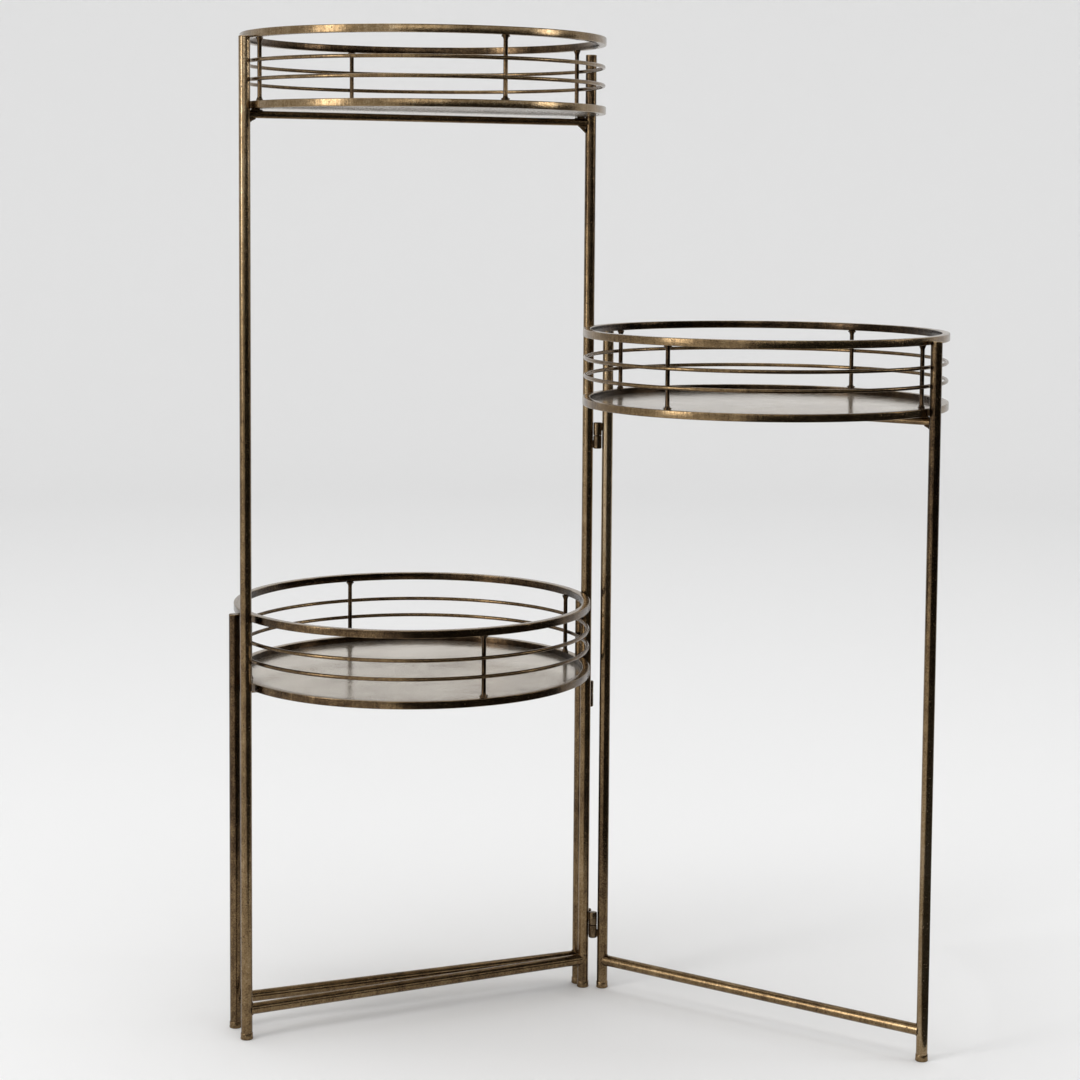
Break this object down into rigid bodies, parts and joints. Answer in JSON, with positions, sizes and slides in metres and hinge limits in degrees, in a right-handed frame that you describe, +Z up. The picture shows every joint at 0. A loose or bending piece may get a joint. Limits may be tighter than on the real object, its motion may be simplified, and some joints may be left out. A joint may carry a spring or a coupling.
{
  "type": "tiered plant stand",
  "caption": "Folding plant stand: hinged steel frames of stepped heights, each carrying a round gallery tray with a flat floor, that fan out from a common post or fold flat.",
  "frame": {"origin": "centre of the common post's foot, on the floor", "axes": "+X along the tall frame, away from it past the common post; +Y towards the side of the low frame; +Z up"},
  "size_m": [0.563, 0.4729, 0.8345],
  "materials": {
    "aged_bronze": "aged brass plating on steel, dark in the recesses and rubbed golden along the tubes",
    "tray_plate": "pale satin plate with faint cloudy streaks",
    "hinge_steel": "darkened brass plating over weld-on barrel hinges"
  },
  "bodies": {
    "tall_frame": {"low_lower_hinge_upper_knuckle": "hinge_steel", "low_upper_hinge_lower_knuckle": "hinge_steel", "low_upper_hinge_pin": "hinge_steel", "middle_lower_hinge_upper_knuckle": "hinge_steel", "middle_upper_hinge_lower_knuckle": "hinge_steel", "middle_upper_hinge_pin": "hinge_steel", "tall_bottom_rail": "aged_bronze", "tall_feet": "aged_bronze", "tall_hinge_post": "aged_bronze", "tall_leg_caps": "aged_bronze", "tall_lower_ring": "aged_bronze", "tall_lower_wire": "aged_bronze", "tall_outer_leg": "aged_bronze", "tall_ring_welds": "aged_bronze", "tall_spindles": "aged_bronze", "tall_tray_rail": "aged_bronze", "tall_tray_sheet": "tray_plate", "tall_upper_ring": "aged_bronze", "tall_upper_wire": "aged_bronze"},
    "middle_frame": {"middle_bottom_rail": "aged_bronze", "middle_feet": "aged_bronze", "middle_hinge_post": "aged_bronze", "middle_leg_caps": "aged_bronze", "middle_lower_hinge_lower_knuckle": "hinge_steel", "middle_lower_hinge_pin": "hinge_steel", "middle_lower_ring": "aged_bronze", "middle_lower_wire": "aged_bronze", "middle_outer_leg": "aged_bronze", "middle_ring_welds": "aged_bronze", "middle_spindles": "aged_bronze", "middle_tray_rail": "aged_bronze", "middle_tray_sheet": "tray_plate", "middle_upper_hinge_upper_knuckle": "hinge_steel", "middle_upper_ring": "aged_bronze", "middle_upper_wire": "aged_bronze"},
    "low_frame": {"low_bottom_rail": "aged_bronze", "low_feet": "aged_bronze", "low_hinge_post": "aged_bronze", "low_leg_caps": "aged_bronze", "low_lower_hinge_lower_knuckle": "hinge_steel", "low_lower_hinge_pin": "hinge_steel", "low_lower_ring": "aged_bronze", "low_lower_wire": "aged_bronze", "low_outer_leg": "aged_bronze", "low_ring_welds": "aged_bronze", "low_spindles": "aged_bronze", "low_tray_rail": "aged_bronze", "low_tray_sheet": "tray_plate", "low_upper_hinge_upper_knuckle": "hinge_steel", "low_upper_ring": "aged_bronze", "low_upper_wire": "aged_bronze"}
  },
  "joints": [
    {"name": "middle_frame_swing", "type": "hinge", "parent": "tall_frame", "child": "middle_frame", "pos_m": [0.00674, -0.0055, 0], "axis": [0, 0, 1], "range_deg": [-118.8, 26.2]},
    {"name": "low_frame_swing", "type": "hinge", "parent": "tall_frame", "child": "low_frame", "pos_m": [0.00674, 0.0055, 0], "axis": [0, 0, -1], "range_deg": [-3.6, 126.4]}
  ]
}
